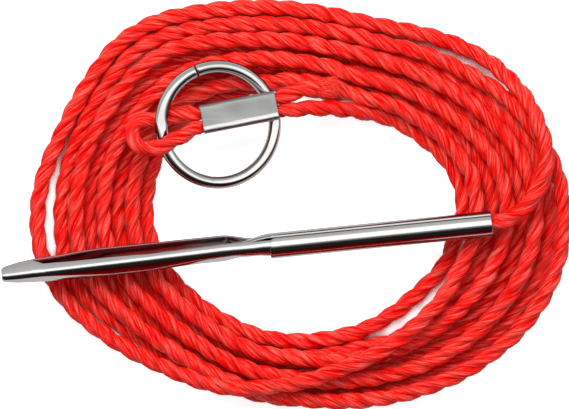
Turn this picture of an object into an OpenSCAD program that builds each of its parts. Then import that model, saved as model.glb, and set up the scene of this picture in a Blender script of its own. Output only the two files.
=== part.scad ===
// Fish stringer: a needle crimped on one end of a laid rope, and a ring held in an eye that a
// sheet sleeve closes at the other end. The rope lies in an oval hank, the needle on top of it.
// Millimetres, +Z up, the hank's footprint is centred on the origin and rests on Z = 0.
// +X runs from the needle's tip to its mouth, +Y from the needle towards the ring.

/* [Rope] */
// Diameter of the laid rope
rope_d = 3.2; // [2.4:0.1:4]
// Share of the diameter that lies flat where the hank rests
rest_share = 0.1; // [0.05:0.05:0.2]

/* [Hank] */
// Inner half length of the hank towards the needle's mouth
right_in = 31.7; // [28:0.1:40]
// Inner half length towards the needle's tip
left_in = 26.9; // [24:0.1:40]
// Inner half width on the ring's side
top_in = 20.3; // [19:0.1:30]
// Inner half width on the far side
bottom_in = 25.4; // [19:0.1:30]
// Step from loop to loop towards the needle's mouth
right_step = 5.5; // [4:0.1:8]
// Step from loop to loop towards the needle's tip
left_step = 5.4; // [4:0.05:8]
// Step from loop to loop on the ring's side
top_step = 3.75; // [3.65:0.05:8]
// Step from loop to loop on the far side
bottom_step = 3.85; // [3.65:0.05:8]
// Height from the lower layer of loops to the upper one
layer_step = 3.65; // [3.65:0.05:5]
// How far the upper layer's loops lie beyond the lower ones on the ring's side
upper_shift = 0.7; // [0:0.1:2.6]
// How far the upper loops sway, in steps, so that they lie between the lower ones
upper_sway = 0.2; // [0:0.05:0.25]
// How far the outermost loop swells at the corner between the ring's side and the mouth
swell_ring_mouth = -0.6; // [-3:0.1:4]
// The same between the ring's side and the tip, on a short stretch
swell_ring_tip = 3.8; // [-3:0.1:5]
// The same at the tip's side, on a short stretch
swell_tip = 1.6; // [-3:0.1:4]
// The same between the far side and the tip
swell_far_tip = -1.4; // [-3:0.1:4]
// The same between the far side and the mouth
swell_far_mouth = 3.3; // [-3:0.1:4]
// Whole loops in the lower layer, besides the part loop
lower_loops = 3; // [2:1:5]
// Whole loops in the upper layer, besides the part loop
upper_loops = 3; // [1:1:4]

/* [Ring] */
// Outside diameter of the ring
ring_od = 25.4; // [20:0.2:32]
// Diameter of the ring's wire
ring_wire = 2.45; // [2:0.05:3]
// Width of the butt seam where the wire's ends meet
ring_seam = 0.25; // [0.1:0.05:0.6]
// Place of the seam round the ring, in degrees from +X
ring_seam_deg = 113; // [0:1:359]
// Tilt of the ring, its eye side up
ring_tilt = 12; // [0:1:15]

/* [Sleeve] */
// Length of the crimped sleeve
sleeve_l = 15.1; // [12:0.1:20]
// Width of the sleeve over both ropes
sleeve_w = 5.8; // [5:0.1:7]
// Height of the sleeve
sleeve_h = 4.4; // [4:0.1:5]
// Thickness of its sheet
sleeve_sheet = 0.45; // [0.3:0.05:0.8]
// Radius of its folds
sleeve_fold_r = 0.8; // [0.5:0.1:1.2]
// Gap where the folded strap's two edges meet
sleeve_seam = 0.3; // [0.1:0.05:0.6]

/* [Needle] */
// Length of the needle from mouth to tip
needle_l = 97.4; // [80:0.2:120]
// Length of the rolled tube
tube_l = 44.1; // [30:0.1:60]
// Outside diameter of the rolled tube
tube_d = 4.7; // [4.2:0.05:6]
// Thickness of the stamped sheet
needle_sheet = 0.5; // [0.35:0.05:0.8]
// Gap of the tube's long seam
tube_seam = 0.16; // [0.1:0.02:0.5]
// Half height of the waist between tube and blade
waist_r = 1.8; // [1.2:0.05:2]
// Half of the channel's opening along the blade
blade_half_w = 3; // [2:0.1:4]
// Depth of the channel along the blade
blade_depth = 4; // [2:0.1:5]
// Distance from the tube's axis to the channel's spine
blade_spine = 2; // [1:0.05:3]
// Half of the channel's opening at the tip
tip_half_w = 1.7; // [1:0.1:3]
// Depth of the channel at the tip
tip_depth = 1.8; // [1:0.1:3]
// Length of rope held in the tube
rope_in_tube = 38; // [20:1:42]

/* [Hidden] */
fine = 72;
overrun = 1;
rope_r = rope_d / 2;

// Hank: angles in degrees seen from above, travelled clockwise from the sleeve to the needle
coil_start_deg = 40;
coil_turn_deg = 90;
coil_end_deg = 20;
full_turn = 360;
climb_turns = 0.4;
climb_early_share = 0.42;
coil_sides = 6;
coil_rings = 24;
tube_sides = 8;
lower_turns = lower_loops + (full_turn + coil_start_deg - coil_turn_deg) / full_turn;
upper_turns = upper_loops + (coil_turn_deg - coil_end_deg) / full_turn;
coil_turns = lower_turns + upper_turns;
coil_steps = round(coil_turns * coil_rings);
rest_z = rope_r - rest_share * rope_d;
least_gap = 0.4;

// Ring: centre of its circle, as laid on the hank's inner edge
ring_at = [-16, 15.8, 9.6];
ring_r = (ring_od - ring_wire) / 2;
ring_seam_angle = ring_seam / ring_r * 180 / PI;

// Sleeve: its centre and its turn about Z; the two rope passes lie side by side in it
sleeve_at = [-11.8, 18.2, 11.3];
sleeve_deg = 11;
pass_clear = 0.05;
pass_half_h = sleeve_h / 2 - sleeve_sheet - pass_clear;
pass_half_w = (sleeve_w / 2 - sleeve_sheet - 2 * pass_clear) / 2;
pass_y = pass_half_w + pass_clear;

// Needle: its mouth, its turn about Z, and where its shape changes, measured from the mouth
needle_at = [38.1, -3.7, 9.25];
needle_deg = 5.75;
seam_side_deg = 49;
blade_open_deg = 20;
weld = 0.15;
loft_from = tube_l - 1.6;
waist_at = tube_l + 2.9;
flare_to = tube_l + 10.5;
taper_from = 76;
tip_round = 0.9;
tube_wrap = 138;
waist_wrap = 150;
blade_wrap = 90;
tip_wrap = 58;
arc_steps = 12;
blade_steps = 52;
step_power = 1.4;
taper_power = 1.4;
tube_r = tube_d / 2;

// Free stretches of the rope: points along each centreline, between the ends that other
// values fix. The lead runs from the hank over its far side, round outside it, to the mouth.
lead_points = [
    [34.6, 2.2, 4.9], [35.1, -2, 4.9], [34.2, -7.5, 4.9], [32.2, -12.9, 5.4],
    [29.2, -17.9, 6.8], [24.5, -22.8, 8.4], [18.2, -27.6, 8.7], [10.5, -31.6, 8.7],
    [2, -34.4, 8.6], [-7, -35.9, 8.6], [-15, -36, 8.5], [-22.5, -34.2, 7.9],
    [-29, -31.5, 6.8], [-34.9, -28.1, 5.5], [-40.3, -24.2, 3.8], [-44.9, -19.8, 2.5],
    [-48.6, -14.6, 1.5], [-50.8, -8.8, 1.3], [-51.6, -2.5, 1.3], [-51, 4, 1.3],
    [-49, 10.1, 1.3], [-46.3, 15.6, 1.3], [-43.4, 21, 1.3], [-40.1, 26.4, 1.3],
    [-35.9, 31.7, 1.3], [-29.7, 35.8, 1.3], [-22, 37.9, 1.3], [-14.2, 38.6, 1.3],
    [-7, 38.6, 1.3], [0, 38.2, 1.3], [6.5, 37.4, 1.3], [13, 36.3, 1.3],
    [19.5, 35, 1.3], [25.8, 33.5, 1.3], [31.6, 31.4, 1.4], [36.8, 28.7, 2.2],
    [41.1, 25.3, 4.5], [44.6, 21.2, 6.8], [47, 16.5, 8.3], [48.5, 11.7, 8.8],
    [48.5, 6.9, 9], [46.9, 2.6, 9.2], [44.4, -0.7, 9.25], [41.4, -2.8, 9.25]];
// The standing part runs from the sleeve down to the hank's inner loop.
standing_points = [
    [-1.6, 18.7, 10.7], [2, 19, 9.5], [6, 19, 7.8], [10, 18.6, 5.5],
    [14, 17.9, 3.3], [17.8, 17, 1.9]];
// The eye goes under the ring's wire, bends back and returns over it.
eye_points = [
    [-22.3, 17.9, 10.3], [-25.4, 17.4, 9.1], [-28.6, 16.9, 8.8], [-30.8, 16.5, 9.2],
    [-32.4, 15.4, 10.4], [-33, 13.9, 12.1], [-32.4, 12.4, 13.7], [-30.8, 11.3, 14.9],
    [-28.6, 11, 15.3], [-26.3, 11.9, 15.1], [-24, 13, 14.2], [-21.5, 14.4, 12.6]];
// The tail is the rope's cut end, which frays.
tail_points = [[-2, 21.8, 11.2], [1, 22.7, 10.3], [4, 23.1, 9.3], [6.3, 23.2, 8.8]];
fray_half_w = 1.9;
fray_half_h = 1.3;

rope_red = [0.89, 0.09, 0.06];
nickel = [0.78, 0.78, 0.77];
dull_nickel = [0.62, 0.63, 0.62];

// 0 to 1 with level ends
function ease(t) = let (c = min(1, max(0, t))) c * c * (3 - 2 * c);
function mix(a, b, t) = a + (b - a) * t;
function unit(v) = v / norm(v);
function turned(v, deg) = [v[0] * cos(deg) - v[1] * sin(deg), v[0] * sin(deg) + v[1] * cos(deg), v[2]];

// How much of a corner's swell is felt so far round from it, and each corner's place and power
wide_power = 6;
short_power = 20;
function corner_share(deg, power) = pow(max(0, cos(deg)), power);
corners = [[45, swell_ring_mouth, wide_power], [122, swell_ring_tip, short_power],
           [198, swell_tip, short_power], [232, swell_far_tip, wide_power],
           [318, swell_far_mouth, wide_power]];

// Loops counted outwards from the inner edge after so many turns along the rope
function loop_at(turns) = turns <= lower_turns ? turns :
    let (loop = 2 * lower_turns - turns,
         upper = ease((turns - lower_turns) / climb_turns))
    loop + upper * upper_sway * sin(full_turn * (loop - turns));

// Distance of a loop from the hank's middle towards the side that a cosine or sine names
function reach(low_in, low_step, high_in, high_step, loop, c) =
    mix(low_in + low_step * loop, high_in + high_step * loop, (1 + c) / 2);

// The coil's centreline after so many turns along the rope
function coil_at(turns) =
    let (deg = coil_start_deg - full_turn * turns,
         loop = loop_at(turns),
         x = cos(deg) * reach(left_in, left_step, right_in, right_step, loop, cos(deg)),
         y = sin(deg) * reach(bottom_in, bottom_step, top_in, top_step, loop, sin(deg)),
         swells = [for (c = corners) c[1] * corner_share(deg - c[0], c[2])],
         swell = swells * [for (c = corners) loop / lower_turns],
         climb = ease((turns - lower_turns) / climb_turns + climb_early_share),
         upper = ease((turns - lower_turns) / climb_turns),
         shift = upper * upper_shift * pow(max(0, sin(deg)), 2))
    [x + swell * cos(deg), y + swell * sin(deg) + shift, rest_z + layer_step * climb];

coil_probe = 0.002;
function coil_along(turns) = unit(coil_at(turns + coil_probe) - coil_at(turns - coil_probe));

coil_first = coil_at(0);
coil_last = coil_at(coil_turns);
coil_first_along = coil_along(0);
coil_last_along = coil_along(coil_turns);
// Both ends run straight for one diameter, so that the free stretches meet them square
coil_in = coil_first - rope_d * coil_first_along;
coil_out = coil_last + rope_d * coil_last_along;
coil_points = [for (i = [0 : coil_steps]) coil_at(coil_turns * i / coil_steps)];
coil_line = concat([coil_in], coil_points, [coil_out]);

// Distance of a point from the straight line between two others
function off_line(p, a, b) =
    let (d = b - a, t = min(1, max(0, (p - a) * d / (d * d)))) norm(p - a - t * d);
// The nearest that the coil's tube comes to another of its loops, half a turn or more away
coil_gap = min([for (i = [0 : len(coil_line) - 1], j = [0 : len(coil_line) - 2])
    if (j > i + coil_rings / 2) off_line(coil_line[i], coil_line[j], coil_line[j + 1])]) - rope_d;

function length_of(line) = len(line) < 2 ? 0 :
    let (steps = [for (i = [1 : len(line) - 1]) norm(line[i] - line[i - 1])]) steps * [for (s = steps) 1];

// Direction at each point of a line, with the ends' directions given
function along(line, first, last) = [for (i = [0 : len(line) - 1])
    i == 0 ? first : i == len(line) - 1 ? last : unit(line[i + 1] - line[i - 1])];

// A tube along a line: rings of so many sides, each with its own half width and half height.
// A side faces down, and no point of it goes below the floor given.
module tube(line, ways, halves, sides, floor_z = 0) {
    turn = 180 / sides - 90;
    rings = [for (i = [0 : len(line) - 1])
        let (side = unit(cross(ways[i], [0, 0, 1])), up = cross(side, ways[i]))
        for (k = [0 : sides - 1])
            let (a = turn + full_turn * k / sides,
                 p = line[i] + halves[i][0] * cos(a) * side + halves[i][1] * sin(a) * up)
            [p[0], p[1], max(floor_z, p[2])]];
    last = (len(line) - 1) * sides;
    walls = [for (i = [0 : len(line) - 2], k = [0 : sides - 1])
        let (a = i * sides + k, b = i * sides + (k + 1) % sides)
        each [[a, b, b + sides], [a, b + sides, a + sides]]];
    ends = [for (k = [1 : sides - 2]) each [[0, k + 1, k], [last, last + k, last + k + 1]]];
    polyhedron(rings, concat(walls, ends));
}

module round_tube(line, first, last) {
    tube(line, along(line, first, last), [for (p = line) [rope_r, rope_r]], tube_sides);
}

sleeve_along = turned([1, 0, 0], sleeve_deg);
needle_along = turned([1, 0, 0], needle_deg);
// A point in the sleeve: end is -1 at the eye and 1 at the tail, pass is 1 at the back
function in_sleeve(end, pass) = sleeve_at + turned([end * sleeve_l / 2, pass * pass_y, 0], sleeve_deg);
pass_halves = [pass_half_w, pass_half_h];
round_halves = [rope_r, rope_r];
half_squeezed = (pass_halves + round_halves) / 2;

lead_line = concat([coil_out], lead_points, [needle_at, needle_at - rope_in_tube * needle_along]);
standing_line = concat([in_sleeve(-1, -1), in_sleeve(1, -1)], standing_points, [coil_in]);
eye_line = concat([in_sleeve(-1, 1)], eye_points, [in_sleeve(-1, -1)]);
tail_line = concat([in_sleeve(-1, 1), in_sleeve(1, 1)], tail_points);

echo(coil_least_gap = coil_gap, coil_loops = coil_turns, gap_is_enough = coil_gap > least_gap);
echo(coil_length = length_of(coil_line), lead_length = length_of(lead_line),
     standing_length = length_of(standing_line), eye_length = length_of(eye_line),
     tail_length = length_of(tail_line));
echo(rope_length = length_of(coil_line) + length_of(lead_line) + length_of(standing_line)
     + length_of(eye_line) + length_of(tail_line));

// The wound length. One level cut gives the lower layer the flat that the hank rests on.
module rope_coil() {
    color(rope_red)
    difference() {
        tube(coil_line,
             concat([coil_first_along],
                    [for (i = [0 : coil_steps]) coil_along(coil_turns * i / coil_steps)],
                    [coil_last_along]),
             [for (p = coil_line) round_halves], coil_sides, -rope_r);
        translate([-needle_l, -needle_l, -2 * overrun])
            cube([2 * needle_l, 2 * needle_l, 2 * overrun]);
    }
}

module rope_lead() {
    ways = along(lead_line, coil_last_along, -needle_along);
    last = len(lead_line) - 1;
    color(rope_red)
    tube(lead_line, [for (i = [0 : last]) i == last - 1 ? -needle_along : ways[i]],
         [for (p = lead_line) round_halves], tube_sides);
}

module rope_standing() {
    ways = along(standing_line, sleeve_along, coil_first_along);
    color(rope_red)
    tube(standing_line, [for (i = [0 : len(ways) - 1]) i == 1 ? sleeve_along : ways[i]],
         [for (i = [0 : len(ways) - 1]) i < 2 ? pass_halves : i == 2 ? half_squeezed : round_halves],
         tube_sides);
}

module rope_eye() {
    last = len(eye_line) - 1;
    color(rope_red)
    tube(eye_line, along(eye_line, -sleeve_along, sleeve_along),
         [for (i = [0 : last]) i == 0 || i == last ? pass_halves
          : i == 1 || i == last - 1 ? half_squeezed : round_halves], tube_sides);
}

module rope_tail() {
    ways = along(tail_line, sleeve_along, sleeve_along);
    last = len(tail_line) - 1;
    color(rope_red)
    tube(tail_line, [for (i = [0 : last]) i == 1 ? sleeve_along : ways[i]],
         [for (i = [0 : last]) i < 2 ? pass_halves : i == 2 ? half_squeezed
          : i == last ? [fray_half_w, fray_half_h] : round_halves], tube_sides);
}

// The ring's wire, bent round and left with a narrow butt seam
module ring() {
    color(nickel)
    translate(ring_at) rotate([0, ring_tilt, 0])
    rotate([0, 0, ring_seam_deg + ring_seam_angle / 2])
    rotate_extrude(angle = full_turn - ring_seam_angle, $fn = fine)
    translate([ring_r, 0]) circle(d = ring_wire, $fn = fine);
}

// A rectangle with round corners, across the sleeve
module rounded(w, h, r) {
    square([w - 2 * r, h], center = true);
    square([w, h - 2 * r], center = true);
    for (x = [-1, 1], y = [-1, 1])
        translate([x * (w / 2 - r), y * (h / 2 - r)]) circle(r = r, $fn = fine);
}

// The sleeve: one strap folded round both rope passes, its edges meeting at the back
module sleeve() {
    color(dull_nickel)
    translate(sleeve_at) rotate([0, 0, sleeve_deg]) rotate([90, 0, 90])
    linear_extrude(height = sleeve_l, center = true)
    difference() {
        rounded(sleeve_w, sleeve_h, sleeve_fold_r);
        rounded(sleeve_w - 2 * sleeve_sheet, sleeve_h - 2 * sleeve_sheet, sleeve_fold_r - sleeve_sheet);
        translate([sleeve_w / 2 - sleeve_sheet - overrun, sleeve_h / 2 - sleeve_fold_r - sleeve_seam])
            square([sleeve_sheet + 2 * overrun, sleeve_seam]);
    }
}

// The blade's channel at a distance from the mouth: its half opening, its depth and how far
// round the sheet reaches on each side of the spine
function stage(s, in_tube, waist, blade, tip) =
    s < waist_at ? mix(in_tube, waist, ease((s - tube_l) / (waist_at - tube_l))) :
    s < flare_to ? mix(waist, blade, ease((s - waist_at) / (flare_to - waist_at))) :
    s < taper_from ? blade :
    mix(blade, tip, pow((s - taper_from) / (needle_l - taper_from), taper_power));
bore_r = tube_r - needle_sheet;
function spine_at(s) = stage(s, bore_r + weld, waist_r, blade_spine, blade_spine);
function half_w_at(s) = stage(s, bore_r + weld, waist_r, blade_half_w, tip_half_w);
function depth_at(s) = stage(s, bore_r + weld, waist_r, blade_depth, tip_depth);
function wrap_at(s) =
    let (t = max(0, (s - needle_l + tip_round) / tip_round))
    s < taper_from ? stage(s, tube_wrap, waist_wrap, blade_wrap, blade_wrap)
    : mix(tip_wrap, blade_wrap, sqrt(max(0, 1 - t * t)));

// A point of the channel's sheet: a is the angle from the spine, inset the depth into the sheet
function channel_point(s, a, inset) =
    let (out = depth_at(s) - spine_at(s) - (depth_at(s) - inset) * cos(a),
         across = (half_w_at(s) - inset) * sin(a),
         y = out * cos(blade_open_deg) - across * sin(blade_open_deg),
         z = out * sin(blade_open_deg) + across * cos(blade_open_deg))
    [-s, y, z];
function channel_section(s) = concat(
    [for (k = [0 : arc_steps]) channel_point(s, wrap_at(s) * (2 * k / arc_steps - 1), 0)],
    [for (k = [arc_steps : -1 : 0]) channel_point(s, wrap_at(s) * (2 * k / arc_steps - 1), needle_sheet)]);
// Stations are closest at the tip, where the end is rounded
function station(i) = mix(loft_from, needle_l, 1 - pow(1 - i / blade_steps, step_power));

// The open blade: a channel of sheet lofted from inside the tube, through the waist, to the tip
module blade() {
    points = [for (i = [0 : blade_steps]) each channel_section(station(i))];
    n = 2 * (arc_steps + 1);
    last = blade_steps * n;
    walls = [for (i = [0 : blade_steps - 1], k = [0 : n - 1])
        let (a = i * n + k, b = i * n + (k + 1) % n)
        each [[a, b + n, b], [a, a + n, b + n]]];
    ends = [for (k = [0 : arc_steps - 1])
        let (a = k, b = k + 1, c = n - 2 - k, d = n - 1 - k)
        each [[a, b, c], [a, c, d], [last + a, last + c, last + b], [last + a, last + d, last + c]]];
    polyhedron(points, concat(walls, ends));
}

// The rolled tube, split along its seam
module rolled_tube() {
    difference() {
        rotate([0, -90, 0]) cylinder(d = tube_d, h = tube_l, $fn = fine);
        translate([overrun, 0, 0]) rotate([0, -90, 0])
            cylinder(r = bore_r, h = tube_l + 2 * overrun, $fn = fine);
        rotate([seam_side_deg, 0, 0])
        translate([-tube_l - overrun, 0, -tube_seam / 2])
            cube([tube_l + 2 * overrun, tube_d, tube_seam]);
    }
}

module needle() {
    color(nickel)
    translate(needle_at) rotate([0, 0, needle_deg]) {
        rolled_tube();
        blade();
    }
}

needle();
ring();
sleeve();
rope_coil();
rope_lead();
rope_standing();
rope_eye();
rope_tail();
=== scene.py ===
import bpy
import math
import numpy as np
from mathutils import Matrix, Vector


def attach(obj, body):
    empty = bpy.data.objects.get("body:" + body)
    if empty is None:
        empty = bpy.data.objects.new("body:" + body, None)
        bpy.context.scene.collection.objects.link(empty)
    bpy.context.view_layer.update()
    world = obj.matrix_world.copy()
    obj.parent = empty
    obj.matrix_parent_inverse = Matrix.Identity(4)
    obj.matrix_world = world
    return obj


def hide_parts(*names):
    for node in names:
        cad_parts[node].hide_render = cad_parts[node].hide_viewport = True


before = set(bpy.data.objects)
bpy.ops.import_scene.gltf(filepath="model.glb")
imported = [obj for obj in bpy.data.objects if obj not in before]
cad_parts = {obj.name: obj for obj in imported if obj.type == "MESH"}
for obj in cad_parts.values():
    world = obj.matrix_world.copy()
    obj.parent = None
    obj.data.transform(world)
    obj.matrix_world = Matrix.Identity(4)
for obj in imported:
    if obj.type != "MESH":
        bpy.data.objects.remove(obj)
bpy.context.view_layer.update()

# A fish stringer laid out as in the photo and seen from straight above. Lengths are in
# millimetres and angles in degrees, in the frame's axes. Names are those of part.scad where it
# has the same thing. The needle's tube and neck are set closer to the photo than they are there.
MM = 0.001
FULL_TURN = 360
UP = (0, 0, 1)

# The photo: the size of a pixel on the object, the photo's width and the place of the hank's
# middle in pixels, and the camera's height
pixel = 0.1975
photo_wide = 569
hank_middle = 299
camera_z = 600

# Rope: the share of its diameter that lies flat where the hank rests, its strands' radius and
# their distance from its middle, and the length of a twist
rope_d = 3.2
rope_r = rope_d / 2
rest_share = 0.1
rest_z = rope_r - rest_share * rope_d
strand_r, strand_at = 0.90, 0.80
strands = 3
lay_l = 14.2
# Its line: the step between points, the least height, and the depths of its first points in the
# needle's tube
line_step = 0.6
least_z = 0.02
in_tube_depths = (25, 12, 0)

# Hank: inner half sizes and steps from loop to loop, towards the needle's mouth and tip, on the
# ring's side and on the far side
right_in, left_in, top_in, bottom_in = 31.7, 26.9, 20.3, 25.4
right_step, left_step, top_step, bottom_step = 5.5, 5.4, 3.75, 3.85
# The upper layer: its height over the lower one, how far its loops lie beyond the lower ones on
# the ring's side, and how far they sway, in steps
layer_step = 3.65
upper_shift = 0.7
upper_sway = 0.2
# Where the coil starts, turns back into the upper layer and ends, seen from above and travelled
# clockwise, and the turns that the climb takes with the share of it that comes early
lower_loops, upper_loops = 3, 3
coil_start_deg, coil_turn_deg, coil_end_deg = 40, 90, 20
climb_turns, climb_early_share = 0.4, 0.42
lower_turns = lower_loops + (FULL_TURN + coil_start_deg - coil_turn_deg) / FULL_TURN
upper_turns = upper_loops + (coil_turn_deg - coil_end_deg) / FULL_TURN
coil_turns = lower_turns + upper_turns
coil_samples = 288
coil_probe = 0.002

# Corners of the hank: where each is, how far the outermost loop swells there, and the power
# that keeps the swell short
wide_power, short_power = 6, 20
corners = ((45, -0.6, wide_power), (122, 3.8, short_power), (198, 1.6, short_power),
           (232, -1.4, wide_power), (318, 3.3, wide_power))

# Ring
ring_od, ring_wire = 25.4, 2.45
ring_r, wire_r = (ring_od - ring_wire) / 2, ring_wire / 2
ring_seam, ring_seam_deg = 0.25, 113
ring_tilt = 12
ring_at = np.array([-16, 15.8, 9.6])

# Sleeve: the two rope passes lie side by side in it, squeezed narrower by a share
sleeve_l, sleeve_w, sleeve_h = 15.1, 5.8, 4.4
sleeve_sheet, sleeve_fold_r, sleeve_seam = 0.45, 0.8, 0.3
sleeve_at, sleeve_deg = np.array([-11.8, 18.2, 11.3]), 11
pass_clear = 0.05
pass_y = (sleeve_w / 2 - sleeve_sheet - 2 * pass_clear) / 2 + pass_clear
pass_squeeze = 0.28

# Needle: where its shape changes is a distance from its mouth. The tube is as wide as in the
# photo, and its section is pressed a little flat and off the axis.
needle_l, tube_l, tube_r, needle_sheet = 97.4, 44.1, 2.54, 0.5
needle_at, needle_deg = np.array([38.1, -3.7, 9.25]), 5.75
bore_r = tube_r - needle_sheet
tube_flat, tube_y, tube_z = 0.96, -0.08, 0.04
seam_half_w, seam_side_deg = 0.16, 49
loft_from, waist_at, flare_to = tube_l - 1.6, tube_l + 2.4, tube_l + 9.5
waist_r, weld = 1.8, 0.02
tube_wrap, waist_wrap = 138, 150
blade_open_deg = 20

# Free stretches of the rope: points along each centreline, as in part.scad
lead = [(34.6, 2.2, 4.9), (35.1, -2, 4.9), (34.2, -7.5, 4.9), (32.2, -12.9, 5.4),
        (29.2, -17.9, 6.8), (24.5, -22.8, 8.4), (18.2, -27.6, 8.7), (10.5, -31.6, 8.7),
        (2, -34.4, 8.6), (-7, -35.9, 8.6), (-15, -36, 8.5), (-22.5, -34.2, 7.9),
        (-29, -31.5, 6.8), (-34.9, -28.1, 5.5), (-40.3, -24.2, 3.8), (-44.9, -19.8, 2.5),
        (-48.6, -14.6, 1.5), (-50.8, -8.8, 1.3), (-51.6, -2.5, 1.3), (-51, 4, 1.3),
        (-49, 10.1, 1.3), (-46.3, 15.6, 1.3), (-43.4, 21, 1.3), (-40.1, 26.4, 1.3),
        (-35.9, 31.7, 1.3), (-29.7, 35.8, 1.3), (-22, 37.9, 1.3), (-14.2, 38.6, 1.3),
        (-7, 38.6, 1.3), (0, 38.2, 1.3), (6.5, 37.4, 1.3), (13, 36.3, 1.3),
        (19.5, 35, 1.3), (25.8, 33.5, 1.3), (31.6, 31.4, 1.4), (36.8, 28.7, 2.2),
        (41.1, 25.3, 4.5), (44.6, 21.2, 6.8), (47, 16.5, 8.3), (48.5, 11.7, 8.8),
        (48.5, 6.9, 9), (46.9, 2.6, 9.2), (44.4, -0.7, 9.25), (41.4, -2.8, 9.25)]
standing = [(-1.6, 18.7, 10.7), (2, 19, 9.5), (6, 19, 7.8), (10, 18.6, 5.5),
            (14, 17.9, 3.3), (17.8, 17, 1.9)]
eye = [(-22.3, 17.9, 10.3), (-25.4, 17.4, 9.1), (-28.6, 16.9, 8.8), (-30.8, 16.5, 9.2),
       (-32.4, 15.4, 10.4), (-33, 13.9, 12.1), (-32.4, 12.4, 13.7), (-30.8, 11.3, 14.9),
       (-28.6, 11, 15.3), (-26.3, 11.9, 15.1), (-24, 13, 14.2), (-21.5, 14.4, 12.6)]
tail = [(-2, 21.8, 11.2), (1, 22.7, 10.3), (4, 23.1, 9.3), (6.3, 23.2, 8.8)]


# Vectors and curves
def ease(t):
    """0 to 1 with level ends."""
    c = np.clip(t, 0, 1)
    return c * c * (3 - 2 * c)


def mix(a, b, t):
    return a + (b - a) * t


def unit(v):
    v = np.asarray(v, dtype=float)
    return v / np.linalg.norm(v, axis=-1, keepdims=True)


def turned(v, deg):
    """A vector, or rows of them, turned about Z."""
    v = np.asarray(v, dtype=float)
    x, y, z = v[..., 0], v[..., 1], v[..., 2]
    cos, sin = math.cos(math.radians(deg)), math.sin(math.radians(deg))
    return np.stack([x * cos - y * sin, x * sin + y * cos, z], axis=-1)


def distance_along(line, weight=1.0):
    """How far each point of a line is from its start, with each step weighed."""
    steps = np.linalg.norm(np.diff(line, axis=0), axis=1) * weight
    return np.concatenate([[0], np.cumsum(steps)])


def resampled(line, at, dist):
    """Points of a line at the distances given."""
    return np.stack([np.interp(at, dist, column) for column in line.T], axis=1)


def through(points, step):
    """A smooth line through points (centripetal Catmull-Rom) in even steps, and its distances."""
    cuts = 24
    ends = np.vstack([2 * points[0] - points[1], points, 2 * points[-1] - points[-2]])
    knots = np.concatenate([[0], np.cumsum(np.linalg.norm(np.diff(ends, axis=0), axis=1) ** 0.5)])

    def blend(u, i, j, a, b):
        """From a at knot i to b at knot j."""
        span = knots[j] - knots[i]
        return (knots[j] - u) / span * a + (u - knots[i]) / span * b

    curve = []
    for i in range(1, len(ends) - 2):
        u = np.linspace(knots[i], knots[i + 1], cuts, endpoint=False)[:, None]
        one, two, three = (blend(u, k, k + 1, ends[k], ends[k + 1]) for k in (i - 1, i, i + 1))
        before = blend(u, i - 1, i + 1, one, two)
        after = blend(u, i, i + 2, two, three)
        curve.append(blend(u, i, i + 1, before, after))
    curve = np.vstack(curve + [points[-1:]])
    dist = distance_along(curve)
    even = np.linspace(0, dist[-1], int(round(dist[-1] / step)) + 1)
    return resampled(curve, even, dist), even


def frames(line):
    """Directions along a line and square to it, carried along it without twisting."""
    along = unit(np.gradient(line, axis=0))
    side = np.zeros_like(along)
    side[0] = unit(np.cross(along[0], UP))
    for i in range(1, len(along)):
        side[i] = unit(side[i - 1] - along[i] * np.dot(side[i - 1], along[i]))
    return along, side, np.cross(along, side)


# Meshes
def mesh_piece(name, points, faces, mat, body=None, smooth=True):
    """A mesh piece from points in millimetres, with its material, riding on a body."""
    mesh = bpy.data.meshes.new(name)
    mesh.from_pydata((np.asarray(points) * MM).tolist(), [], [list(map(int, face)) for face in faces])
    mesh.validate()
    mesh.polygons.foreach_set("use_smooth", [smooth] * len(mesh.polygons))
    mesh.materials.append(mat)
    ob = bpy.data.objects.new(name, mesh)
    bpy.context.scene.collection.objects.link(ob)
    if body:
        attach(ob, body)
    return ob


def walls(rows, sides, flip=False):
    """Quads between rows of points that each run once round."""
    i, j = np.meshgrid(np.arange(rows - 1), np.arange(sides), indexing="ij")
    k = (j + 1) % sides
    after = i + 1
    quads = np.stack([i * sides + j, after * sides + j, after * sides + k, i * sides + k], axis=-1)
    quads = quads.reshape(-1, 4)
    return quads[:, [0, 3, 2, 1]] if flip else quads


def fan(centre, first, sides, flip=False):
    """Triangles from a centre to a row of points that runs once round."""
    j = np.arange(sides)
    k = (j + 1) % sides
    near, far = (k, j) if flip else (j, k)
    return np.stack([np.full(sides, centre), first + near, first + far], axis=1)


def across(first, count, back, flip=False):
    """Quads across the cut end of a sheet: outer points from the first, inner ones back from back."""
    j = np.arange(count)
    quads = np.stack([first + j, first + j + 1, first + back - j - 1, first + back - j], axis=1)
    return quads[:, ::-1] if flip else quads


# The rope's route
def reach(low_in, low_step, high_in, high_step, loop, side):
    """Distance of a loop from the hank's middle towards the side that a cosine or sine names."""
    return mix(low_in + low_step * loop, high_in + high_step * loop, (1 + side) / 2)


def corner_share(deg, power):
    """How much of a corner's swell is felt so far round from it."""
    return np.maximum(0, np.cos(np.radians(deg))) ** power


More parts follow.
